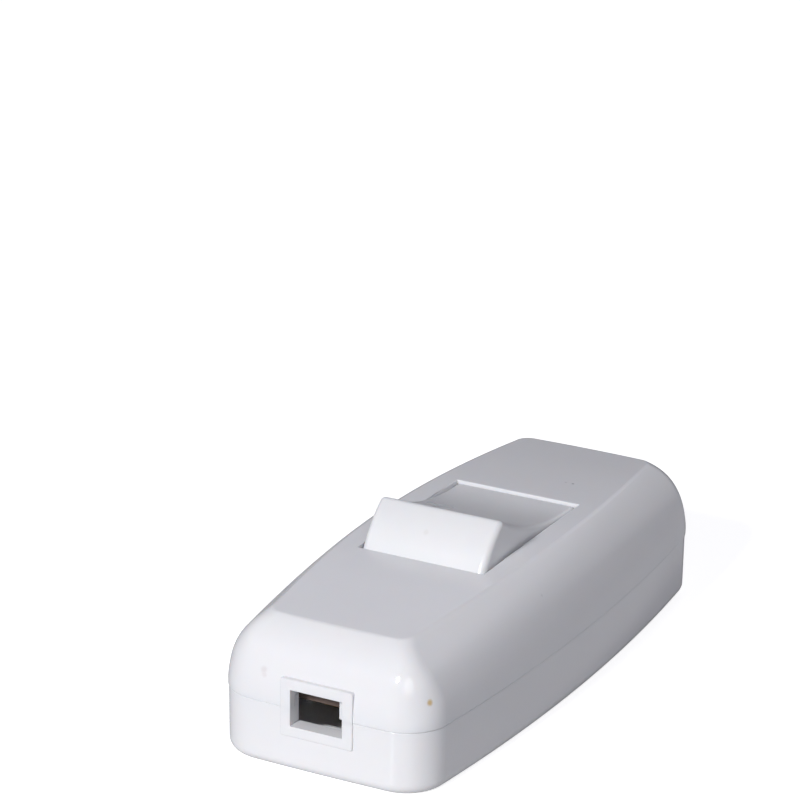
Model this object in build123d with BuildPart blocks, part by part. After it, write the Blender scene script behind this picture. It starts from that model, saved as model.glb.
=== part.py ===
from build123d import *
from math import asin, cos, degrees, radians, sin, sqrt, tan
import os

# Inline cord switch: a rocker switch in a slim two-piece housing that a lamp cord runs through.
# Millimetres. The origin is the centre of the base's underside, +X runs along the cord, -Y is one
# long side and +Z points up through the rocker. At rest the rocker's marked half (-X) is raised.

os.makedirs("parts", exist_ok=True)

# Housing
length = 86.0
width = 36.6
height = 21.0
seam_z = 9.1
seam_edge = 0.15
side_bow = 2.8
end_bow = 0.3
corner_radius = 6.2
wall = 2.0
roof = 1.9
floor_top = 2.0
base_step = 0.1
base_draft = 0.06
base_edge_radius = 1.5
cover_draft = 0.45
roll_start = 2.0
side_roll_radius = 13.0
end_roll_radius = 10.8
bow_gain = 0.68
crown_drop = 1.35
top_edge_radius = 0.9
tongue_height = 1.5
tongue_wall = 0.9
tongue_gap = 0.1

# Window and rocker
pivot_z = 13.0
window_width = 19.4
rocker_width = 18.9
rocker_radius = 16.1
window_gap = 0.35
window_lip_z = 20.3
window_edge = 0.15
ridge_angle = 47.3
skirt_angle = 84.5
dish_depth = 1.6
tilt = 14.1
rocker_wall = 1.5
rocker_corner = 0.9
ridge_edge = 0.8
trunnion_radius = 1.8
trunnion_gap = 0.06
trunnion_length = 2.2
lug_gap = 0.3
lug_thickness = 1.9
lug_radius = 3.6
marker_length = 9.8
marker_width = 2.6
marker_depth = 0.25
marker_x = -7.1

# Plunger and spring, measured along the rocker's own axis from the pivot
tube_radius = 3.5
bore_radius = 2.3
bore_top = 7.0
bore_mouth = -3.4
plunger_radius = 2.2
plunger_top = -1.4
plunger_shoulder = -4.9
tip_radius = 1.2
tip_reach = 6.55
spring_radius = 1.7
spring_wire = 0.4
spring_turns = 6
spigot_radius = 1.3
spigot_length = 1.2
rocker_waist = 4.0
rocker_bottom = -2.6

# Seesaw contact
fulcrum_z = 5.6
lever_tilt = 9.5
lever_width = 4.0
lever_rise = 0.8
lever_drop = 0.1
lever_back = -8.5
lever_front = 10.6
seat_slope = 20.6
seat_drop = 0.66
lever_rest_z = 3.3
stop_x = 15.2
stop_z = 10.2
lever_pin_radius = 0.55
lever_pin_gap = 0.08
cradle_inner = 2.6
cradle_length = 4.4
cradle_top = 5.9
strip = 0.8
strip_width = 3.0
contact_x = 9.0
contact_radius = 1.5
contact_thickness = 0.5
contact_dome = 0.3
contact_gap = 0.1

# Terminals and fasteners
terminal_x = 23.0
terminal_y = 7.0
terminal_size = (7.0, 6.0, 6.6)
neutral_y = -12.9
neutral_size = (16.0, 5.2, 6.4)
neutral_screw_x = 5.6
wire_hole_radius = 1.35
grub_radius = 1.45
grub_length = 4.6
grub_proud = 0.7
slot_width = 0.6
slot_depth = 0.7
clamp_x = 36.6
clamp_post_y = 9.3
clamp_post_radius = 2.5
clamp_seat_z = 9.0
clamp_bar_width = 5.0
clamp_bar_height = 2.2
clamp_nose = 0.5
clamp_screw_radius = 1.25
clamp_screw_depth = 6.0
clamp_head_radius = 2.3
clamp_head_height = 1.3
saddle_z = 3.4
case_screw_x = 24.0
case_screw_y = 10.6
case_post_radius = 4.3
case_screw_radius = 1.5
case_hole_gap = 0.15
case_head_radius = 2.75
case_head_height = 1.9
case_head_seat = 3.3
case_screw_top = 14.5
nut_flats = 5.5
nut_height = 2.4
nut_bottom = 11.1
nut_gap = 0.1

# Cord inlets
inlet_z = 9.3
inlet_width = 7.8
inlet_height = 5.2
rim_band = 1.5
rim_proud = 0.2
rim_edge = 0.12
guide_setback = 1.0
guide_width = 1.6
guide_length = 2.2
guide_drop = 0.8
guide_round = 1.2

ends = (-1, 1)
strip_top = floor_top + strip
half_length = length / 2
half_width = width / 2
rocker_frame = Plane.XY.offset(pivot_z).rotated((0, tilt, 0))
rocker_side = Plane(rocker_frame.origin, x_dir=rocker_frame.x_dir, z_dir=-rocker_frame.y_dir)
lever_frame = Plane.XY.offset(fulcrum_z).rotated((0, -lever_tilt, 0))
lever_side = Plane(lever_frame.origin, x_dir=lever_frame.x_dir, z_dir=-lever_frame.y_dir)
lever_swing = radians(lever_tilt)
contact_low = lever_drop + contact_thickness
fixed_x = contact_x * cos(lever_swing) - contact_low * sin(lever_swing)
fixed_top = fulcrum_z - contact_x * sin(lever_swing) - contact_low * cos(lever_swing) - contact_gap
case_screw_places = [(-case_screw_x, -case_screw_y), (case_screw_x, case_screw_y)]
clamp_post_places = [(end * clamp_x, side * clamp_post_y) for end in ends for side in ends]


def bowed_outline(reach, half_span, bow, corner):
    """Face with bowed long sides, slightly bowed ends and round corners."""
    end_span = half_span - bow * (reach / half_length) ** 2
    end_x = reach - end_bow
    with BuildSketch() as outline:
        with BuildLine():
            ThreePointArc((-end_x, -end_span), (0, -half_span), (end_x, -end_span))
            ThreePointArc((end_x, -end_span), (reach, 0), (end_x, end_span))
            ThreePointArc((end_x, end_span), (0, half_span), (-end_x, end_span))
            ThreePointArc((-end_x, end_span), (-reach, 0), (-end_x, -end_span))
        make_face()
        fillet(outline.vertices(), corner)
    return outline.sketch


def roll(rise, radius):
    """How far a wall has rolled inwards at a height above the roll's start."""
    return radius - sqrt(radius**2 - max(rise, 0.0) ** 2)


def cover_form(inset):
    """The cover's outer form or, with an inset, the form that far inside it."""
    top = height - inset * roof / wall
    roll_z = seam_z + roll_start
    end_radius = end_roll_radius - inset
    side_radius = side_roll_radius - inset
    roll_end = degrees(asin(min((top + 0.2 - roll_z) / end_radius, 0.97)))
    shares = (0, 0.3, 0.52, 0.7, 0.86, 1)
    levels = [seam_z] + [roll_z + end_radius * sin(radians(roll_end * share)) for share in shares]
    with BuildPart() as form:
        for z in levels:
            draft = cover_draft * (z - seam_z) / (height - seam_z)
            side_roll = roll(z - roll_z, side_radius)
            end_roll = roll(z - roll_z, end_radius)
            corner = max(corner_radius - inset - draft - 0.75 * (side_roll + end_roll), 2.2 - inset / 2)
            with BuildSketch(Plane.XY.offset(z)):
                add(bowed_outline(
                    half_length - inset - draft - end_roll,
                    half_width - inset - draft - side_roll,
                    side_bow + bow_gain * side_roll,
                    corner,
                ))
        loft()
        reach = half_length + 2
        crown_end = top - crown_drop * (reach / half_length) ** 2
        with BuildSketch(Plane.XZ):
            with BuildLine():
                ThreePointArc((-reach, crown_end), (0, top), (reach, crown_end))
                Polyline((reach, crown_end), (reach, 0), (-reach, 0), (-reach, crown_end))
            make_face()
        extrude(amount=width, both=True, mode=Mode.INTERSECT)
    return form.part


def inlet_cut(depth_in, wide, tall):
    """Bars through both ends, from outside the rims to the given depth inside the ends."""
    with BuildPart() as bars:
        for end in ends:
            with BuildSketch(Plane.YZ.offset(end * (half_length + 2))):
                with Locations((0, inlet_z)):
                    Rectangle(wide, tall)
            extrude(amount=-end * (depth_in + 2))
    return bars.part


# Shapes that several pieces share
outer_form = cover_form(0)
cavity_form = cover_form(wall)
boss_form = cover_form(wall / 2)
inlet_bars = inlet_cut(4.0, inlet_width, inlet_height)

# Window: flat sides, and ends that follow the rocker's swing up to an upright lip
with BuildPart() as window:
    with BuildSketch(Plane.XZ):
        with Locations((0, pivot_z)):
            Circle(rocker_radius + window_gap)
        with Locations((0, height)):
            Rectangle(length, 2 * (height - pivot_z - 1.5), mode=Mode.INTERSECT)
        lip_x = sqrt((rocker_radius + window_gap) ** 2 - (window_lip_z - pivot_z) ** 2)
        with Locations((0, window_lip_z + 1)):
            Rectangle(2 * lip_x, 2)
    extrude(amount=window_width / 2, both=True)

# Raised rims round the cord inlets, shared between cover and base at the seam
with BuildPart() as rims:
    for end in ends:
        with BuildSketch(Plane.YZ.offset(end * (half_length + rim_proud))):
            with Locations((0, inlet_z)):
                RectangleRounded(inlet_width + 2 * rim_band, inlet_height + 2 * rim_band, 0.3)
        extrude(amount=-end * (rim_proud + 0.9))
    rim_fronts = rims.faces().filter_by(lambda face: abs(face.center().X) > half_length + rim_proud - 0.01)
    fillet(rim_fronts.edges(), rim_edge)

with BuildPart() as upper_rims:
    add(rims.part)
    split(bisect_by=Plane.XY.offset(seam_z), keep=Keep.TOP)

with BuildPart() as lower_rims:
    add(rims.part)
    split(bisect_by=Plane.XY.offset(seam_z), keep=Keep.BOTTOM)

# Cord guides: a rib with a rounded edge on the -Y side of the -X inlet and on the +Y side of the other
with BuildPart() as cord_guides:
    guide_foot = seam_z - guide_drop
    guide_head = inlet_z + inlet_height / 2 + 0.7 * rim_band
    for end in ends:
        guide_out = end * (half_length + rim_proud - guide_setback)
        guide_in = guide_out - end * guide_length
        guide_wall = end * inlet_width / 2
        guide_edge = guide_wall - end * guide_width
        with BuildSketch(Plane.XY.offset(guide_foot)):
            with BuildLine():
                Polyline(
                    (guide_out - end * guide_round, guide_edge),
                    (guide_in, guide_edge),
                    (guide_in, guide_wall),
                    (guide_out, guide_wall),
                    (guide_out, guide_edge + end * guide_round),
                )
                RadiusArc(
                    (guide_out, guide_edge + end * guide_round),
                    (guide_out - end * guide_round, guide_edge),
                    -guide_round,
                )
            make_face()
        extrude(amount=guide_head - guide_foot)

# Cover: crowned shell with bearing lugs, screw bosses and cord guides
with BuildPart() as cover_bosses:
    with BuildSketch(Plane.XY.offset(seam_z)):
        with Locations(*case_screw_places):
            Circle(case_post_radius)
    extrude(amount=height)
    add(boss_form, mode=Mode.INTERSECT)

with BuildPart() as top_cover:
    add(outer_form)
    fillet(top_cover.faces().sort_by(Axis.Z)[-1].edges(), top_edge_radius)
    fillet(top_cover.faces().sort_by(Axis.Z)[0].edges(), seam_edge)
    add(cavity_form, mode=Mode.SUBTRACT)
    room = wall - tongue_wall - tongue_gap
    with BuildSketch(Plane.XY.offset(seam_z)):
        add(bowed_outline(half_length - room, half_width - room, side_bow, corner_radius - room))
    extrude(amount=tongue_height + tongue_gap, mode=Mode.SUBTRACT)
    add(cover_bosses.part)
    add(upper_rims.part)
    lug_y = window_width / 2 + lug_gap
    lug_top = height - roof / 2
    for side in ends:
        with BuildSketch(Plane.XZ.offset(-side * lug_y)):
            with Locations((0, pivot_z)):
                Circle(lug_radius)
            with Locations((0, (pivot_z + lug_top) / 2)):
                Rectangle(2 * lug_radius, lug_top - pivot_z)
        extrude(amount=-side * lug_thickness)
    with BuildSketch(Plane.XZ):
        with Locations((0, pivot_z)):
            Circle(trunnion_radius + trunnion_gap)
        with Locations((0, pivot_z - lug_radius / 2)):
            Rectangle(1.5 * trunnion_radius, lug_radius)
    extrude(amount=lug_y + lug_thickness + 1, both=True, mode=Mode.SUBTRACT)
    add(inlet_bars, mode=Mode.SUBTRACT)
    add(cord_guides.part)
    add(window.part, mode=Mode.SUBTRACT)
    window_edges = top_cover.edges().filter_by(
        lambda edge: (edge @ 0.5).Z > window_lip_z + 0.3 and abs((edge @ 0.5).Y) < window_width / 2 + 0.01
        and abs((edge @ 0.5).X) < lip_x + 0.01
    )
    fillet(window_edges, window_edge)
    with BuildSketch(Plane.XY.offset(seam_z)):
        with Locations(*case_screw_places):
            Circle(case_screw_radius + 0.05)
    extrude(amount=case_screw_top + 1 - seam_z, mode=Mode.SUBTRACT)
    # Side slots that hold the hex nuts above a ledge
    with BuildSketch(Plane.XY.offset(nut_bottom - nut_gap / 2)):
        for x, y in case_screw_places:
            with Locations((x, y)):
                RegularPolygon((nut_flats + nut_gap) / 2, 6, major_radius=False, rotation=30)
            with Locations((x, y * (1 - case_post_radius / 2 / case_screw_y))):
                Rectangle(nut_flats + nut_gap, case_post_radius)
    extrude(amount=nut_height + nut_gap, mode=Mode.SUBTRACT)
top_cover.part.label = "top_cover"
export_step(top_cover.part, "parts/top_cover.step")

# Base: open tray with the tongue, posts, cord saddles, terminal ribs and rocker stops


def tray_outline(inset):
    """Outline of the room inside the base's walls."""
    side_in = base_step + wall + inset
    return bowed_outline(half_length - side_in, half_width - side_in, side_bow, corner_radius - wall)


floor_draft = base_draft * (1 - floor_top / seam_z)
with BuildPart() as tray_room:
    for z, inset in ((floor_top, floor_draft), (seam_z, 0)):
        with BuildSketch(Plane.XY.offset(z)):
            add(tray_outline(inset))
    loft(ruled=True)

with BuildPart() as base_housing:
    for z, inset in ((0, base_draft), (seam_z, 0)):
        with BuildSketch(Plane.XY.offset(z)):
            add(bowed_outline(
                half_length - base_step / 3 - inset,
                half_width - base_step - inset,
                side_bow,
                corner_radius,
            ))
    loft(ruled=True)
    fillet(base_housing.faces().sort_by(Axis.Z)[0].edges(), base_edge_radius)
    fillet(base_housing.faces().sort_by(Axis.Z)[-1].edges(), seam_edge)
    add(tray_room.part, mode=Mode.SUBTRACT)
    tongue_in = wall - tongue_wall
    with BuildSketch(Plane.XY.offset(seam_z - 1)):
        add(bowed_outline(half_length - tongue_in, half_width - tongue_in, side_bow, corner_radius - tongue_in))
        add(tray_outline(0), mode=Mode.SUBTRACT)
    extrude(amount=tongue_height + 1)
    add(lower_rims.part)
    # Posts for the case screws and the clamp screws
    with BuildSketch(Plane.XY.offset(floor_top - 1)):
        with Locations(*case_screw_places):
            Circle(case_post_radius)
    extrude(amount=seam_z - 0.1 - floor_top + 1)
    with BuildSketch(Plane.XY.offset(floor_top - 1)):
        with Locations(*clamp_post_places):
            Circle(clamp_post_radius)
    extrude(amount=clamp_seat_z - floor_top + 1)
    with BuildSketch(Plane.XY.offset(floor_top - 1)):
        with Locations((-clamp_x, 0), (clamp_x, 0)):
            Rectangle(clamp_bar_width, inlet_width + 1.6)
    extrude(amount=saddle_z - floor_top + 1)
    with BuildSketch(Plane.XY.offset(saddle_z - 0.2)):
        with Locations((-clamp_x, 0), (clamp_x, 0)):
            with GridLocations(1.5, 1, 3, 1):
                Rectangle(0.5, inlet_width + 0.4)
    extrude(amount=0.6)
    # Ribs beside each line terminal, stops under the rocker's skirts and a rest under the lever
    with BuildSketch(Plane.XY.offset(floor_top - 1)):
        with Locations((-terminal_x, terminal_y), (terminal_x, -terminal_y)):
            with GridLocations(1, terminal_size[1] + 1.2, 1, 2):
                Rectangle(terminal_size[0], 1.0)
        with Locations((0, neutral_y + neutral_size[1] / 2 + 0.6)):
            Rectangle(neutral_size[0], 1.0)
    extrude(amount=0.75 * terminal_size[2] + 1)
    with BuildSketch(Plane.XY.offset(floor_top - 1)):
        with Locations((-stop_x, 0), (stop_x, 0)):
            Rectangle(2.0, 6.0)
    extrude(amount=stop_z - floor_top + 1)
    with BuildSketch(Plane.XY.offset(floor_top - 1)):
        with Locations((lever_back + 0.8, 0)):
            Rectangle(1.2, lever_width + 1)
    extrude(amount=lever_rest_z - floor_top + 1)
    add(inlet_bars, mode=Mode.SUBTRACT)
    for x, y in case_screw_places:
        with Locations(Plane((x, y, 0), z_dir=(0, 0, -1))):
            CounterBoreHole(
                radius=case_screw_radius + case_hole_gap,
                counter_bore_radius=case_head_radius + 0.25,
                counter_bore_depth=case_head_seat,
                depth=seam_z + 1,
            )
    with BuildSketch(Plane.XY.offset(clamp_seat_z)):
        with Locations(*clamp_post_places):
            Circle(clamp_screw_radius + 0.05)
    extrude(amount=-clamp_screw_depth - 0.5, mode=Mode.SUBTRACT)
base_housing.part.label = "base_housing"
export_step(base_housing.part, "parts/base_housing.step")


# Rocker: dished cap with cylindrical ends, side walls, trunnions and the plunger's tube
ridge = (rocker_radius * sin(radians(ridge_angle)), rocker_radius * cos(radians(ridge_angle)))
skirt = (rocker_radius * sin(radians(skirt_angle)), rocker_radius * cos(radians(skirt_angle)))
mid_angle = radians((ridge_angle + skirt_angle) / 2)
end_middle = (rocker_radius * sin(mid_angle), rocker_radius * cos(mid_angle))

with BuildPart() as rocker_blank:
    with BuildSketch(rocker_side):
        with BuildLine():
            ThreePointArc((-ridge[0], ridge[1]), (0, ridge[1] - dish_depth), ridge)
            ThreePointArc(ridge, end_middle, skirt)
            Polyline(skirt, (rocker_waist, rocker_bottom), (-rocker_waist, rocker_bottom), (-skirt[0], skirt[1]))
            ThreePointArc((-skirt[0], skirt[1]), (-end_middle[0], end_middle[1]), (-ridge[0], ridge[1]))
        make_face()
    extrude(amount=rocker_width / 2, both=True)
    end_corners = rocker_blank.edges().filter_by(GeomType.CIRCLE).filter_by(
        lambda edge: abs(edge.radius - rocker_radius) < 0.01
    )
    fillet(end_corners, rocker_corner)
    dish_face = rocker_blank.faces().sort_by(Axis(rocker_frame.origin, rocker_frame.z_dir))[-1]
    fillet(dish_face.edges(), ridge_edge)

with BuildPart() as marker_prism:
    with BuildSketch(rocker_frame.offset(ridge[1] - dish_depth - marker_depth)):
        with Locations((marker_x, 0)):
            SlotOverall(marker_length, marker_width, rotation=90)
    extrude(amount=4)

with BuildPart() as rocker:
    add(rocker_blank.part)
    inner = rocker_radius - rocker_wall
    room_angle = radians(ridge_angle + 3)
    room_edge = (inner * sin(room_angle), inner * cos(room_angle))
    room_low = (inner * sin(radians(100)), inner * cos(radians(100)))
    room_middle = (inner * sin(radians(76)), inner * cos(radians(76)))
    with BuildSketch(rocker_side):
        with BuildLine():
            ThreePointArc(
                (-room_edge[0], room_edge[1]),
                (0, ridge[1] - dish_depth - rocker_wall),
                room_edge,
            )
            ThreePointArc(room_edge, room_middle, room_low)
            Polyline(room_low, (room_low[0], -8), (-room_low[0], -8), (-room_low[0], room_low[1]))
            ThreePointArc(
                (-room_low[0], room_low[1]),
                (-room_middle[0], room_middle[1]),
                (-room_edge[0], room_edge[1]),
            )
        make_face()
    extrude(amount=rocker_width / 2 - rocker_wall, both=True, mode=Mode.SUBTRACT)
    with BuildSketch(rocker_frame.offset(bore_mouth)):
        Circle(tube_radius)
    extrude(amount=ridge[1] - dish_depth - rocker_wall / 2 - bore_mouth)
    # Cross rib from side wall to side wall, through the tube
    with BuildSketch(rocker_frame.offset(rocker_bottom / 2)):
        Rectangle(rocker_wall, rocker_width - rocker_wall)
    extrude(amount=ridge[1] - dish_depth - rocker_wall / 2 - rocker_bottom / 2)
    with BuildSketch(rocker_frame.offset(bore_mouth)):
        Circle(bore_radius)
    extrude(amount=bore_top - bore_mouth, mode=Mode.SUBTRACT)
    for side in ends:
        with BuildSketch(rocker_side.offset(-side * (rocker_width / 2 - rocker_wall / 2))):
            Circle(trunnion_radius)
        extrude(amount=-side * (trunnion_length + rocker_wall / 2))
    add(marker_prism.part, mode=Mode.SUBTRACT)
rocker.part.label = "rocker"
export_step(rocker.part, "parts/rocker.step")

with BuildPart() as marker_inlay:
    add(marker_prism.part)
    add(rocker_blank.part, mode=Mode.INTERSECT)
marker_inlay.part.label = "marker_inlay"
export_step(marker_inlay.part, "parts/marker_inlay.step")

# Plunger: round-nosed pin that the spring pushes down onto the lever's seat
with BuildPart() as plunger:
    with BuildSketch(rocker_side):
        with BuildLine():
            nose_centre = -tip_reach + tip_radius
            nose_side = (tip_radius * cos(radians(45)), nose_centre - tip_radius * sin(radians(45)))
            ThreePointArc((0, -tip_reach), nose_side, (tip_radius, nose_centre))
            Polyline(
                (tip_radius, nose_centre),
                (tip_radius, plunger_shoulder),
                (plunger_radius, plunger_shoulder + 0.7),
                (plunger_radius, plunger_top),
                (spigot_radius, plunger_top),
                (spigot_radius, plunger_top + spigot_length),
                (0, plunger_top + spigot_length),
                (0, -tip_reach),
            )
        make_face()
    revolve(axis=Axis(rocker_frame.origin, rocker_frame.z_dir))
plunger.part.label = "plunger"
export_step(plunger.part, "parts/plunger.step")

# Plunger spring: open helix between the plunger's shoulder and the tube's blind end
with BuildPart() as plunger_spring:
    spring_low = plunger_top + spring_wire / 2 + 0.05
    spring_high = bore_top - spring_wire / 2 - 0.05
    with BuildLine() as coil:
        Helix(
            pitch=(spring_high - spring_low) / spring_turns,
            height=spring_high - spring_low,
            radius=spring_radius,
            center=rocker_frame.from_local_coords((0, 0, spring_low)),
            direction=rocker_frame.z_dir,
        )
    with BuildSketch(Plane(coil.line @ 0, z_dir=coil.line % 0)):
        RegularPolygon(spring_wire / 2, 6)
    sweep(path=coil.line)
plunger_spring.part.label = "plunger_spring"
export_step(plunger_spring.part, "parts/plunger_spring.step")

# Seesaw lever: sprung strip with a V seat for the plunger and pins that rock in the cradle
with BuildPart() as contact_lever:
    with BuildSketch(lever_side):
        top_line = [
            (lever_back, 0.2),
            (-5.4, 0.2),
            (-2.6, seat_drop + 2.6 * tan(radians(seat_slope))),
            (0, seat_drop),
            (2.6, seat_drop + 2.6 * tan(radians(seat_slope))),
            (5.4, lever_rise),
            (lever_front, lever_rise),
        ]
        with BuildLine():
            Polyline(*top_line, *[(x, z - lever_rise - lever_drop) for x, z in reversed(top_line)], close=True)
        make_face()
    extrude(amount=lever_width / 2, both=True)
    with BuildSketch(lever_side):
        Circle(lever_pin_radius)
    extrude(amount=cradle_inner + strip + 0.5, both=True)
    with BuildSketch(lever_frame):
        with Locations((contact_x, 0)):
            Circle(contact_radius / 2)
    extrude(amount=2, both=True, mode=Mode.SUBTRACT)
contact_lever.part.label = "contact_lever"
export_step(contact_lever.part, "parts/contact_lever.step")

with BuildPart() as lever_contact:
    with BuildSketch(lever_frame.offset(-lever_drop)):
        with Locations((contact_x, 0)):
            Circle(contact_radius)
    extrude(amount=-contact_thickness)
    with BuildSketch(lever_frame.offset(-lever_drop)):
        with Locations((contact_x, 0)):
            Circle(contact_radius / 2)
    extrude(amount=lever_rise + lever_drop)
lever_contact.part.label = "lever_contact"
export_step(lever_contact.part, "parts/lever_contact.step")

# Fulcrum strip: brass strip from the line-in terminal, folded up into the two notched cradle ears
with BuildPart() as fulcrum_strip:
    with BuildSketch(Plane.XY.offset(floor_top)):
        with Locations((0, 0)):
            Rectangle(cradle_length, 2 * (cradle_inner + strip))
        with Locations((0, terminal_y / 2)):
            Rectangle(strip_width, terminal_y + strip_width)
        with Locations(((-terminal_x - 3 + strip_width / 2) / 2, terminal_y)):
            Rectangle(terminal_x + 3 + strip_width / 2, strip_width)
    extrude(amount=strip)
    for side in ends:
        with BuildSketch(Plane.XZ.offset(-side * cradle_inner)):
            with Locations((0, (floor_top + cradle_top) / 2)):
                Rectangle(cradle_length, cradle_top - floor_top)
            with Locations((0, fulcrum_z)):
                Circle(lever_pin_radius + lever_pin_gap, mode=Mode.SUBTRACT)
            with Locations((0, fulcrum_z + 1)):
                Rectangle(2 * (lever_pin_radius + lever_pin_gap), 2, mode=Mode.SUBTRACT)
        extrude(amount=-side * strip)
fulcrum_strip.part.label = "fulcrum_strip"
export_step(fulcrum_strip.part, "parts/fulcrum_strip.step")

# Line-out strip: carries the fixed contact to the line-out terminal
with BuildPart() as line_out_strip:
    with BuildSketch(Plane.XY.offset(floor_top)):
        with Locations((fixed_x, 0)):
            Rectangle(2 * contact_radius + 1, 2 * contact_radius + 1)
        with Locations((fixed_x, -terminal_y / 2)):
            Rectangle(strip_width, terminal_y + strip_width)
        with Locations(((terminal_x + 3 + fixed_x - strip_width / 2) / 2, -terminal_y)):
            Rectangle(terminal_x + 3 - fixed_x + strip_width / 2, strip_width)
    extrude(amount=strip)
line_out_strip.part.label = "line_out_strip"
export_step(line_out_strip.part, "parts/line_out_strip.step")

with BuildPart() as fixed_contact:
    with BuildSketch(Plane.XZ):
        with BuildLine():
            dome_edge = (contact_radius, fixed_top - contact_dome)
            dome_side = (contact_radius / 2, fixed_top - contact_dome / 4)
            ThreePointArc((0, fixed_top), dome_side, dome_edge)
            Polyline(dome_edge, (contact_radius, strip_top), (0, strip_top), (0, fixed_top))
        make_face()
    revolve(axis=Axis.Z)
fixed_contact.part.position = (fixed_x, 0, 0)
fixed_contact.part.label = "fixed_contact"
export_step(fixed_contact.part, "parts/fixed_contact.step")


def terminal_block(place, size, bottom, screw_xs):
    """Brass block with a wire hole along it and a threaded hole for each grub screw."""
    with BuildPart() as block:
        with BuildSketch(Plane.XY.offset(bottom)):
            with Locations(place):
                Rectangle(size[0], size[1])
        extrude(amount=size[2])
        chamfer(block.edges().filter_by(Axis.Z), 0.5)
        with BuildSketch(Plane.YZ.offset(place[0])):
            with Locations((place[1], bottom + wire_hole_radius + 1)):
                Circle(wire_hole_radius)
        extrude(amount=size[0], both=True, mode=Mode.SUBTRACT)
        with BuildSketch(Plane.XY.offset(bottom + size[2])):
            with Locations(*[(place[0] + x, place[1]) for x in screw_xs]):
                Circle(grub_radius + 0.05)
        extrude(amount=1 + wire_hole_radius - size[2], mode=Mode.SUBTRACT)
    return block.part


# Terminals: one block for each line end, and a longer through block for the neutral
line_in_terminal = terminal_block((-terminal_x, terminal_y), terminal_size, strip_top, [0])
line_in_terminal.label = "line_in_terminal"
export_step(line_in_terminal, "parts/line_in_terminal.step")
line_out_terminal = terminal_block((terminal_x, -terminal_y), terminal_size, strip_top, [0])
line_out_terminal.label = "line_out_terminal"
export_step(line_out_terminal, "parts/line_out_terminal.step")
neutral_screw_xs = [-neutral_screw_x, neutral_screw_x]
neutral_terminal = terminal_block((0, neutral_y), neutral_size, floor_top, neutral_screw_xs)
neutral_terminal.label = "neutral_terminal"
export_step(neutral_terminal, "parts/neutral_terminal.step")

# Grub screws of the four terminals
line_top = strip_top + terminal_size[2] + grub_proud
neutral_top = floor_top + neutral_size[2] + grub_proud
grub_places = [
    (-terminal_x, terminal_y, line_top),
    (terminal_x, -terminal_y, line_top),
    (-neutral_screw_x, neutral_y, neutral_top),
    (neutral_screw_x, neutral_y, neutral_top),
]
with BuildPart() as terminal_screws:
    for x, y, top in grub_places:
        with BuildSketch(Plane((x, y, top))):
            Circle(grub_radius)
        extrude(amount=-grub_length)
    chamfer(terminal_screws.edges().filter_by(GeomType.CIRCLE), 0.2)
    for x, y, top in grub_places:
        with BuildSketch(Plane((x, y, top))):
            Rectangle(3 * grub_radius, slot_width)
        extrude(amount=-slot_depth, mode=Mode.SUBTRACT)
terminal_screws.part.label = "terminal_screws"
export_step(terminal_screws.part, "parts/terminal_screws.step")


def cord_clamp(x):
    """Bar that two screws pull down over the cord, with a nose along its underside."""
    with BuildPart() as bar:
        with BuildSketch(Plane.XY.offset(clamp_seat_z)):
            with Locations((x, 0)):
                SlotOverall(2 * clamp_post_y + clamp_bar_width + 0.6, clamp_bar_width, rotation=90)
        extrude(amount=clamp_bar_height)
        chamfer(bar.faces().sort_by(Axis.Z)[-1].edges(), 0.5)
        with BuildSketch(Plane.XZ.offset(-inlet_width / 2)):
            with Locations((x, clamp_seat_z)):
                Trapezoid(2.4, clamp_nose * 2, 120, rotation=180)
        extrude(amount=inlet_width)
        with BuildSketch(Plane.XY.offset(clamp_seat_z)):
            with Locations((x, -clamp_post_y), (x, clamp_post_y)):
                Circle(clamp_screw_radius + 0.2)
        extrude(amount=clamp_bar_height, mode=Mode.SUBTRACT)
    return bar.part


cord_clamp_in = cord_clamp(-clamp_x)
cord_clamp_in.label = "cord_clamp_in"
export_step(cord_clamp_in, "parts/cord_clamp_in.step")
cord_clamp_out = cord_clamp(clamp_x)
cord_clamp_out.label = "cord_clamp_out"
export_step(cord_clamp_out, "parts/cord_clamp_out.step")

# Clamp screws: slotted pan heads on the clamp bars
clamp_head_z = clamp_seat_z + clamp_bar_height
with BuildPart() as clamp_screws:
    with BuildSketch(Plane.XY.offset(clamp_head_z)):
        with Locations(*clamp_post_places):
            Circle(clamp_head_radius)
    extrude(amount=clamp_head_height)
    chamfer(clamp_screws.faces().sort_by(Axis.Z)[-4:].edges(), 0.4)
    with BuildSketch(Plane.XY.offset(clamp_head_z)):
        with Locations(*clamp_post_places):
            Circle(clamp_screw_radius)
    extrude(amount=-clamp_bar_height - clamp_screw_depth)
    with BuildSketch(Plane.XY.offset(clamp_head_z + clamp_head_height)):
        with Locations(*clamp_post_places):
            Rectangle(3 * clamp_head_radius, slot_width)
    extrude(amount=-slot_depth, mode=Mode.SUBTRACT)
clamp_screws.part.label = "clamp_screws"
export_step(clamp_screws.part, "parts/clamp_screws.step")

# Case screws: pan heads deep in the underside, shanks up into the cover's bosses
with BuildPart() as case_screws:
    with BuildSketch(Plane.XY.offset(case_head_seat)):
        with Locations(*case_screw_places):
            Circle(case_head_radius)
    extrude(amount=-case_head_height)
    chamfer(case_screws.faces().sort_by(Axis.Z)[:2].edges(), 0.5)
    with BuildSketch(Plane.XY.offset(case_head_seat)):
        with Locations(*case_screw_places):
            Circle(case_screw_radius)
    extrude(amount=case_screw_top - case_head_seat)
    chamfer(case_screws.faces().sort_by(Axis.Z)[-2:].edges(), 0.4)
    with BuildSketch(Plane.XY.offset(case_head_seat - case_head_height)):
        with Locations(*case_screw_places):
            Rectangle(2.8, slot_width)
            Rectangle(slot_width, 2.8)
    extrude(amount=slot_depth + 0.3, mode=Mode.SUBTRACT)
case_screws.part.label = "case_screws"
export_step(case_screws.part, "parts/case_screws.step")

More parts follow.
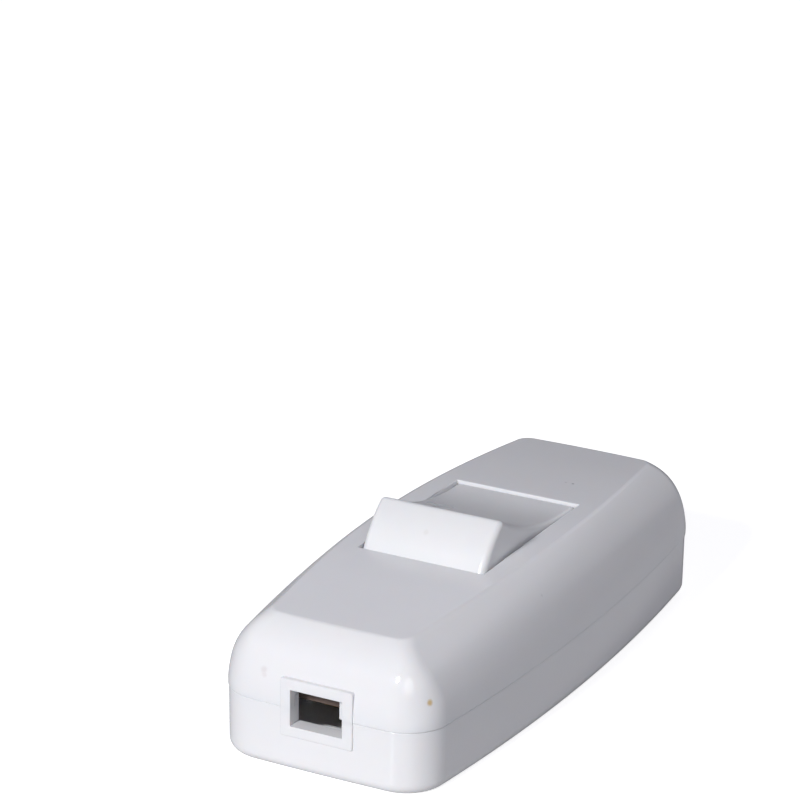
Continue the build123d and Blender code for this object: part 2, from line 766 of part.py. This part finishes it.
with BuildPart() as case_nuts:
    with BuildSketch(Plane.XY.offset(nut_bottom)):
        with Locations(*case_screw_places):
            RegularPolygon(nut_flats / 2, 6, major_radius=False, rotation=30)
            Circle(case_screw_radius + 0.05, mode=Mode.SUBTRACT)
    extrude(amount=nut_height)
case_nuts.part.label = "case_nuts"
export_step(case_nuts.part, "parts/case_nuts.step")
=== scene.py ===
# %% [markdown]
# A cord switch for a lamp, as a small studio picture. The switch itself was made as solid parts, and
# this script dresses them: it loads the parts, sets the camera and the light, gives every part the
# finish that the real one has, and winds anew the one small spring, which the real switch presses
# shorter. Everything is in metres, with +X along the cord and +Z up, so a place read off the parts can
# be used here as it is.

# %% Load the parts, each in its place
from math import acos, cos, degrees, pi, radians, sin

import bpy
from mathutils import Matrix, Vector


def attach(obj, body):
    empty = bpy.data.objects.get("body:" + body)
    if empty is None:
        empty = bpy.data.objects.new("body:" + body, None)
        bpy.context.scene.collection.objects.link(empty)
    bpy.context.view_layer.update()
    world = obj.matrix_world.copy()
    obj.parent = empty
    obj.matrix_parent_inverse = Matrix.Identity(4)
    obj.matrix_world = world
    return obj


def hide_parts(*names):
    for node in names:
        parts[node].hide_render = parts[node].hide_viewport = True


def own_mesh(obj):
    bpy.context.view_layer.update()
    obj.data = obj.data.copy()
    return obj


mm = 0.001
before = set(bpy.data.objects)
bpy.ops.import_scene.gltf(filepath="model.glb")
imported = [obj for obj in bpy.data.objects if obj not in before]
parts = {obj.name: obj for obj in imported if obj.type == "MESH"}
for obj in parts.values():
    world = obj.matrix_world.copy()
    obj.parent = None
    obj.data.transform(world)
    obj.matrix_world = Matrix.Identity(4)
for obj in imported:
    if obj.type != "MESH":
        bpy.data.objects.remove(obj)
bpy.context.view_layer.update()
bpy.ops.object.select_all(action="DESELECT")

# %% [markdown]
# The camera looks down at the marked end, from half a metre away. That is far for so small a thing,
# so the far end looks only a little smaller than the near one, and a long lens makes up for the
# distance. A look-at constraint would be the quick way to aim it, but it would also centre the
# switch, and here it lies in the lower right of the picture. So the camera's place is written down,
# with the directions of its right side and its top, and the third direction follows from those two.

# %% Camera
eye = Vector((-416.8, -212.25, 208.45)) * mm
right = Vector((0.47655, -0.87906, 0.01223)).normalized()
rough_up = Vector((0.29363, 0.17226, 0.94027))
back = right.cross(rough_up).normalized()
up = back.cross(right)
bpy.ops.object.camera_add(location=eye)
camera = bpy.context.object
camera.name = "portrait_camera"
camera.rotation_mode = "QUATERNION"
camera.rotation_quaternion = Matrix((right, up, back)).transposed().to_quaternion()
camera.data.sensor_width = 36
camera.data.lens = 162.84
camera.data.clip_start = 10 * mm
bpy.context.scene.camera = camera
bpy.context.scene.view_settings.view_transform = "Standard"
print("camera", round(eye.length / mm), "mm from the switch")

# %% [markdown]
# White plastic is hard to light: its form shows only where the light falls off. One lamp, no wider
# than a plate, stands in front of the marked end, a third of the way up. It makes that end and the
# rocker's raised face the brightest things, leaves the top a middle grey because the light only
# grazes it, and doesn't reach the long side at all. A wider and much weaker one stands behind the
# camera, a little to the side, for the near corner and for the inside of the cord's hole. Both are
# discs, because the gloss mirrors them and a round highlight looks like a real lamp.

# %% Lamps
switch_middle = Vector((0, 0, 10)) * mm


def soft_lamp(name, direction, distance, size, watts):
    """A round area lamp that looks back at the switch from a direction."""
    towards = Vector(direction).normalized()
    bpy.ops.object.light_add(type="AREA", location=towards * distance + switch_middle)
    lamp = bpy.context.object
    lamp.name = name
    lamp.data.shape = "DISK"
    lamp.data.size = size
    lamp.data.energy = watts
    lamp.rotation_mode = "QUATERNION"
    lamp.rotation_quaternion = towards.to_track_quat("Z", "Y")
    print(name, watts, "W,", size, "m wide")


soft_lamp("key_lamp", direction=(-0.8545, 0.085, 0.5125), distance=1.8, size=0.22, watts=22.5)
soft_lamp("corner_lamp", direction=(-0.77, -0.5, 0.4), distance=0.9, size=0.42, watts=1.0)

# %% [markdown]
# The room does the rest. Gloss needs something to mirror, so the room isn't one grey: it is dim at
# the table's edge, has a bright band at about the height of a window, and is dark overhead. The
# band's lower edge is what gives the top its fall from light to grey along the switch. A ramp on the
# direction's height is enough for that, and needs no picture. Its greys are a little blue, and more
# so higher up, as daylight is.

# %% Room
world = bpy.data.worlds.new("studio_room")
bpy.context.scene.world = world
world.use_nodes = True
room = world.node_tree
room.nodes.clear()
direction = room.nodes.new("ShaderNodeTexCoord")
split_direction = room.nodes.new("ShaderNodeSeparateXYZ")
room_ramp = room.nodes.new("ShaderNodeValToRGB")
room.links.new(direction.outputs["Generated"], split_direction.inputs["Vector"])
room.links.new(split_direction.outputs["Z"], room_ramp.inputs["Fac"])
steps = room_ramp.color_ramp.elements
steps[0].position = 0.0
steps[1].position = 1.0
heights_and_greys = ((0.0, 0.11), (0.28, 0.05), (0.45, 0.53), (0.66, 0.09), (1.0, 0.07))
blue_at_table = 1.07
blue_with_height = 0.2
for order, (height, grey) in enumerate(heights_and_greys):
    if 0 < height < 1:
        steps.new(height)
    steps[order].color = (grey, grey, grey * (blue_at_table + blue_with_height * height), 1)
print("room of", len(steps), "heights")

# %% [markdown]
# Past the far end hangs one soft glow. The rounded shoulder mirrors it, while the upright wall below
# mirrors the table, and that is what sets the two apart. A lamp there would show its rim in the
# gloss. A glow in the room itself has no rim: it grows smoothly with how near a direction is to the
# glow's middle, which a dot product measures.

# %% Glow past the far end
glow_middle = Vector((0.87, -0.3, 0.42)).normalized()
glow_edge = 0.85
glow_strength = 0.72
nearness = room.nodes.new("ShaderNodeVectorMath")
nearness.operation = "DOT_PRODUCT"
nearness.inputs[1].default_value = glow_middle
glow_growth = room.nodes.new("ShaderNodeMapRange")
glow_growth.interpolation_type = "SMOOTHSTEP"
glow_growth.inputs["From Min"].default_value = glow_edge
glow_growth.inputs["To Max"].default_value = glow_strength
room_sum = room.nodes.new("ShaderNodeMix")
room_sum.data_type = "RGBA"
room_sum.blend_type = "ADD"
room_sum.inputs["Factor"].default_value = 1
room.links.new(direction.outputs["Generated"], nearness.inputs[0])
room.links.new(nearness.outputs["Value"], glow_growth.inputs["Value"])
room.links.new(room_ramp.outputs["Color"], room_sum.inputs["A"])
room.links.new(glow_growth.outputs["Result"], room_sum.inputs["B"])
print("glow fades out", round(degrees(acos(glow_edge))), "degrees from its middle")

# %% [markdown]
# A studio picture has a plain white ground. Lighting a real backdrop until it is white would also
# throw that light on the switch. So the room has two faces: rays that light or mirror get the grey
# room, and only the camera's own rays, where they pass everything, get plain white.

# %% White where the camera looks past everything
room_out = room.nodes.new("ShaderNodeOutputWorld")
room_light = room.nodes.new("ShaderNodeBackground")
room_white = room.nodes.new("ShaderNodeBackground")
room_mix = room.nodes.new("ShaderNodeMixShader")
ray_kind = room.nodes.new("ShaderNodeLightPath")
room_white.inputs["Color"].default_value = (1, 1, 1, 1)
room.links.new(room_sum.outputs["Result"], room_light.inputs["Color"])
room.links.new(ray_kind.outputs["Is Camera Ray"], room_mix.inputs["Fac"])
room.links.new(room_light.outputs["Background"], room_mix.inputs[1])
room.links.new(room_white.outputs["Background"], room_mix.inputs[2])
room.links.new(room_mix.outputs["Shader"], room_out.inputs["Surface"])
print("room made of", len(room.nodes), "nodes")

# %% [markdown]
# The switch lies on a white table. The table is a real surface, because it throws light up onto the
# long side and takes the switch's soft shadow. Only where the camera looks straight at it, some white
# is added, so that the table runs into the white background without an edge.

# %% Table
table_width = 6
bpy.ops.mesh.primitive_plane_add(size=table_width, location=(0, 0, 0))
table = bpy.context.object
table.name = "white_table"
table_finish = bpy.data.materials.new("table_white")
table_finish.use_nodes = True
table_nodes = table_finish.node_tree.nodes
table_link = table_finish.node_tree.links.new
lacquer = table_nodes["Principled BSDF"]
lacquer.inputs["Base Color"].default_value = (0.66, 0.66, 0.66, 1)
lacquer.inputs["Roughness"].default_value = 0.15
white = table_nodes.new("ShaderNodeEmission")
white.inputs["Color"].default_value = (1, 1, 1, 1)
white.inputs["Strength"].default_value = 0.8
seen = table_nodes.new("ShaderNodeLightPath")
whitened = table_nodes.new("ShaderNodeAddShader")
chosen = table_nodes.new("ShaderNodeMixShader")
table_link(lacquer.outputs["BSDF"], whitened.inputs[0])
table_link(white.outputs["Emission"], whitened.inputs[1])
table_link(seen.outputs["Is Camera Ray"], chosen.inputs["Fac"])
table_link(lacquer.outputs["BSDF"], chosen.inputs[1])
table_link(whitened.outputs["Shader"], chosen.inputs[2])
table_link(chosen.outputs["Shader"], table_nodes["Material Output"].inputs["Surface"])
table.data.materials.append(table_finish)
print("table", table_width, "m wide")

# %% [markdown]
# Every finish here starts the same way: a principled shader, a soft cloud that moves its tone and its
# gloss a little, and a fine relief. A surface that is perfectly even looks drawn, and these three are
# what the eye takes for a material. The patterns use Object coordinates, so their size is a real size
# and they stay put when a part moves. The nodes that a finish may need again are given a name.


# %% A helper for all finishes
def start_finish(
    name, light, dark, roughness, spread, cloud_size, relief_size, relief_depth, stretch=(1, 1, 1)
):
    """A finish with a cloud in tone and gloss and a fine relief. Sizes and depth are in millimetres."""
    material = bpy.data.materials.new(name)
    material.use_nodes = True
    new = material.node_tree.nodes.new
    link = material.node_tree.links.new
    shader = material.node_tree.nodes["Principled BSDF"]
    place = new("ShaderNodeTexCoord")
    place.name = "place"
    grain = new("ShaderNodeMapping")
    grain.inputs["Scale"].default_value = stretch
    cloud = new("ShaderNodeTexNoise")
    cloud.inputs["Scale"].default_value = 1 / (cloud_size * mm)
    cloud.inputs["Detail"].default_value = 3
    tone = new("ShaderNodeValToRGB")
    tone.color_ramp.elements[0].position = 0.3
    tone.color_ramp.elements[0].color = (*dark, 1)
    tone.color_ramp.elements[1].position = 0.7
    tone.color_ramp.elements[1].color = (*light, 1)
    gloss = new("ShaderNodeMapRange")
    gloss.inputs["To Min"].default_value = roughness * (1 - spread)
    gloss.inputs["To Max"].default_value = roughness * (1 + spread)
    fine = new("ShaderNodeTexNoise")
    fine.name = "fine"
    fine.inputs["Scale"].default_value = 1 / (relief_size * mm)
    fine.inputs["Detail"].default_value = 2
    relief = new("ShaderNodeBump")
    relief.inputs["Strength"].default_value = 0.3
    relief.inputs["Distance"].default_value = relief_depth * mm
    link(place.outputs["Object"], grain.inputs["Vector"])
    link(grain.outputs["Vector"], cloud.inputs["Vector"])
    link(grain.outputs["Vector"], fine.inputs["Vector"])
    link(cloud.outputs["Fac"], tone.inputs["Fac"])
    link(cloud.outputs["Fac"], gloss.inputs["Value"])
    link(gloss.outputs["Result"], shader.inputs["Roughness"])
    link(fine.outputs["Fac"], relief.inputs["Height"])
    link(relief.outputs["Normal"], shader.inputs["Normal"])
    link(tone.outputs["Color"], shader.inputs["Base Color"])
    return material


# %% A helper that dresses a part
def dress(part, material):
    """Gives a part its finish in place of the plain one it came with."""
    mesh = parts[part].data
    mesh.materials.clear()
    mesh.materials.append(material)
    print(part, "is", material.name)


# %% [markdown]
# The real switch isn't clean: a yellow speck, a few grey ones and two darker grains lie on it. They
# could be painted on an unwrapped picture of the part. Here each one is a small ball in space that
# colours what it meets, because a ball needs no unwrapping and sits at a place that can be measured
# on the part. The fine noise is added to the distance from its middle, which makes its edge ragged.

# %% Specks
raggedness = 0.8
fade_from = 1.6
fade_to = 0.8


def add_speck(material, middle, radius, colour):
    """Lays a speck over the colour so far. Its middle and radius are in millimetres."""
    nodes = material.node_tree.nodes
    link = material.node_tree.links.new
    painted = nodes["Principled BSDF"].inputs["Base Color"]
    colour_so_far = painted.links[0].from_socket
    reach = nodes.new("ShaderNodeVectorMath")
    reach.operation = "DISTANCE"
    reach.inputs[1].default_value = Vector(middle) * mm
    ragged = nodes.new("ShaderNodeMath")
    ragged.operation = "MULTIPLY_ADD"
    ragged.inputs[1].default_value = radius * mm * raggedness
    inside = nodes.new("ShaderNodeMapRange")
    inside.inputs["From Min"].default_value = radius * mm * fade_from
    inside.inputs["From Max"].default_value = radius * mm * fade_to
    mixed = nodes.new("ShaderNodeMix")
    mixed.data_type = "RGBA"
    mixed.inputs["B"].default_value = (*colour, 1)
    link(nodes["place"].outputs["Object"], reach.inputs[0])
    link(nodes["fine"].outputs["Fac"], ragged.inputs[0])
    link(reach.outputs["Value"], ragged.inputs[2])
    link(ragged.outputs["Value"], inside.inputs["Value"])
    link(inside.outputs["Result"], mixed.inputs["Factor"])
    link(colour_so_far, mixed.inputs["A"])
    link(mixed.outputs["Result"], painted)


cover_specks = (
    ((-39.67, -14.86, 12.96), 0.46, (0.7, 0.53, 0.3)),
    ((-42.42, 8.25, 13.6), 0.5, (0.79, 0.77, 0.79)),
    ((-42.5, 8.1, 12.9), 0.42, (0.81, 0.79, 0.81)),
    ((22.13, -5.15, 20.64), 0.22, (0.44, 0.44, 0.46)),
    ((22.16, -4.03, 20.64), 0.2, (0.66, 0.66, 0.68)),
    ((-9.93, -16.17, 17.36), 0.22, (0.74, 0.74, 0.76)),
)
rocker_specks = (((-11.93, 0.69, 23.8), 0.42, (0.82, 0.815, 0.82)),)
print(len(cover_specks) + len(rocker_specks), "specks")

# %% [markdown]
# The cover, the base and the rocker are moulded in one white plastic, glossy on the shells and satin
# on the rocker, with the faint orange peel that every moulding has. Light goes a little way into such
# plastic, and that softens its shadows, so the shader has some subsurface. It goes further in red
# than in blue. The green marker and the plunger's nylon are moulded too, and need only their own
# colours.


# %% Moulded plastic
def moulded_plastic(name, light, dark, roughness, specks=()):
    """Plastic with specks, each given by its middle, its radius and its colour."""
    material = start_finish(
        name, light, dark, roughness, spread=0.25, cloud_size=14, relief_size=1.1, relief_depth=0.003
    )
    shader = material.node_tree.nodes["Principled BSDF"]
    shader.inputs["IOR"].default_value = 1.5
    shader.inputs["Subsurface Weight"].default_value = 0.25
    shader.inputs["Subsurface Radius"].default_value = (1, 0.75, 0.6)
    shader.inputs["Subsurface Scale"].default_value = 1.5 * mm
    for middle, radius, colour in specks:
        add_speck(material, middle, radius, colour)
    return material


cover_white = moulded_plastic(
    "cover_white", (0.87, 0.87, 0.893), (0.855, 0.855, 0.878), roughness=0.075, specks=cover_specks
)
rocker_white = moulded_plastic(
    "rocker_white", (0.87, 0.87, 0.888), (0.85, 0.855, 0.87), roughness=0.3, specks=rocker_specks
)
marker_green = moulded_plastic("marker_green", (0.22, 0.79, 0.27), (0.19, 0.74, 0.24), roughness=0.25)
plunger_nylon = moulded_plastic("plunger_nylon", (0.72, 0.7, 0.63), (0.66, 0.64, 0.56), roughness=0.4)
dress("top_cover", cover_white)
dress("base_housing", cover_white)
dress("rocker", rocker_white)
dress("marker_inlay", marker_green)
dress("plunger", plunger_nylon)

# %% [markdown]
# Inside are brass, plated steel, spring wire and silver. All are metals, and differ in colour, in how
# dull they are and in which way their marks run: rolled strip is drawn out along the switch, and wire
# and blocks are not. The stretch is a Mapping scale, so one helper makes them all. Brass gets a
# browner second tone for the bloom that it takes on in air.


# %% Metals
def metal(name, light, dark, roughness, stretch=(1, 1, 1)):
    """Bare or plated metal with marks drawn out where the stretch is small."""
    material = start_finish(
        name,
        light,
        dark,
        roughness,
        spread=0.35,
        cloud_size=3,
        relief_size=0.2,
        relief_depth=0.004,
        stretch=stretch,
    )
    material.node_tree.nodes["Principled BSDF"].inputs["Metallic"].default_value = 1
    return material


along_strip = (0.08, 1, 1)
rolled_brass = metal("rolled_brass", (0.8, 0.6, 0.3), (0.66, 0.45, 0.2), 0.28, stretch=along_strip)
block_brass = metal("block_brass", (0.82, 0.64, 0.34), (0.7, 0.51, 0.25), roughness=0.22)
zinc_plate = metal("zinc_plate", (0.68, 0.69, 0.71), (0.56, 0.56, 0.56), roughness=0.25)
spring_wire = metal("spring_wire", (0.6, 0.6, 0.62), (0.46, 0.46, 0.48), roughness=0.2)
dull_silver = metal("dull_silver", (0.86, 0.85, 0.82), (0.7, 0.68, 0.63), roughness=0.35)
for part in ("contact_lever", "fulcrum_strip", "line_out_strip"):
    dress(part, rolled_brass)
for part in ("line_in_terminal", "line_out_terminal", "neutral_terminal"):
    dress(part, block_brass)
for part in ("terminal_screws", "clamp_screws", "case_screws", "case_nuts"):
    dress(part, zinc_plate)
for part in ("lever_contact", "fixed_contact"):
    dress(part, dull_silver)

# %% [markdown]
# The cord clamps are bars of hard fibre, pressed paper dyed brown. They show through the cord's hole
# as a dull brown, with a short flecked grain along the bar. There is no mirror in this finish, so its
# roughness is high and the grain carries it.

# %% Clamp fibre
brown_fibre = start_finish(
    "brown_fibre",
    light=(0.14, 0.1, 0.085),
    dark=(0.1, 0.07, 0.058),
    roughness=0.7,
    spread=0.15,
    cloud_size=1.2,
    relief_size=0.25,
    relief_depth=0.04,
    stretch=(1, 0.3, 1),
)
for part in ("cord_clamp_in", "cord_clamp_out"):
    dress(part, brown_fibre)

# %% [markdown]
# The spring over the plunger's stem is a coil of round wire. The solid part draws it plainly and at one
# length, but the real one is pressed shorter as the rocker goes over, and its ends are closed turns
# that lie flat. So it is wound here again. A curve could be bent into a helix point by point. A Screw
# modifier needs only the number of turns and the rise of each: a ring for the wire's section is set
# beside the upright axis and wound up.

# %% Wind the coil
coil_low = -1.15 * mm
coil_high = 6.75 * mm
coil_radius = 1.7 * mm
wire_radius = 0.2 * mm
coil_turns = 6
wire_sides = 10
steps_per_turn = 28
bpy.ops.mesh.primitive_circle_add(
    vertices=wire_sides, radius=wire_radius, location=(coil_radius, 0, coil_low), rotation=(pi / 2, 0, 0)
)
coil = bpy.context.object
coil.name = "coil_spring"
bpy.ops.object.transform_apply(location=True, rotation=True, scale=True)
winding = coil.modifiers.new("winding", "SCREW")
winding.angle = 2 * pi
winding.screw_offset = (coil_high - coil_low) / coil_turns
winding.iterations = coil_turns
winding.steps = winding.render_steps = steps_per_turn
bpy.ops.object.modifier_apply(modifier="winding")
print("coil of", coil_turns, "turns,", len(coil.data.polygons), "faces")

# %% [markdown]
# Each end gets a closed turn, a ring as thick as the wire. The wire's two cut ends lie inside those
# rings, and are closed as well, so that the coil has no hole anywhere.

# %% Close the ends of the coil
for end_height in (coil_low, coil_high):
    bpy.ops.mesh.primitive_torus_add(
        major_radius=coil_radius,
        minor_radius=wire_radius,
        major_segments=steps_per_turn,
        minor_segments=wire_sides,
        location=(0, 0, end_height),
    )
    bpy.ops.object.transform_apply(location=True, rotation=True, scale=True)
    coil.select_set(True)
    bpy.context.view_layer.objects.active = coil
    bpy.ops.object.join()
bpy.ops.object.mode_set(mode="EDIT")
bpy.ops.mesh.select_all(action="SELECT")
bpy.ops.mesh.fill_holes(sides=wire_sides)
bpy.ops.mesh.select_all(action="SELECT")
bpy.ops.mesh.normals_make_consistent(inside=False)
bpy.ops.object.mode_set(mode="OBJECT")
bpy.ops.object.shade_smooth_by_angle(angle=radians(50))
print("closed coil,", len(coil.data.polygons), "faces")

# %% [markdown]
# At rest the rocker leans, and its tube and the spring lean with it. Winding upright and tilting the
# finished coil is easier than winding on a slant. Riding on the rocker turns the coil with it. As the
# plunger slides in, the real coil is pressed against the blind end of the tube; this coil keeps the
# length it was wound to.

# %% Tilt the coil and let it ride on the rocker
pivot = Vector((0, 0, 13)) * mm
rest_tilt = radians(14.1)
coil.rotation_euler = (0, rest_tilt, 0)
coil.location = pivot
bpy.ops.object.transform_apply(location=True, rotation=True, scale=True)
coil.data.materials.append(spring_wire)
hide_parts("plunger_spring")
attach(coil, "rocker")
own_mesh(coil)
bpy.ops.object.select_all(action="DESELECT")
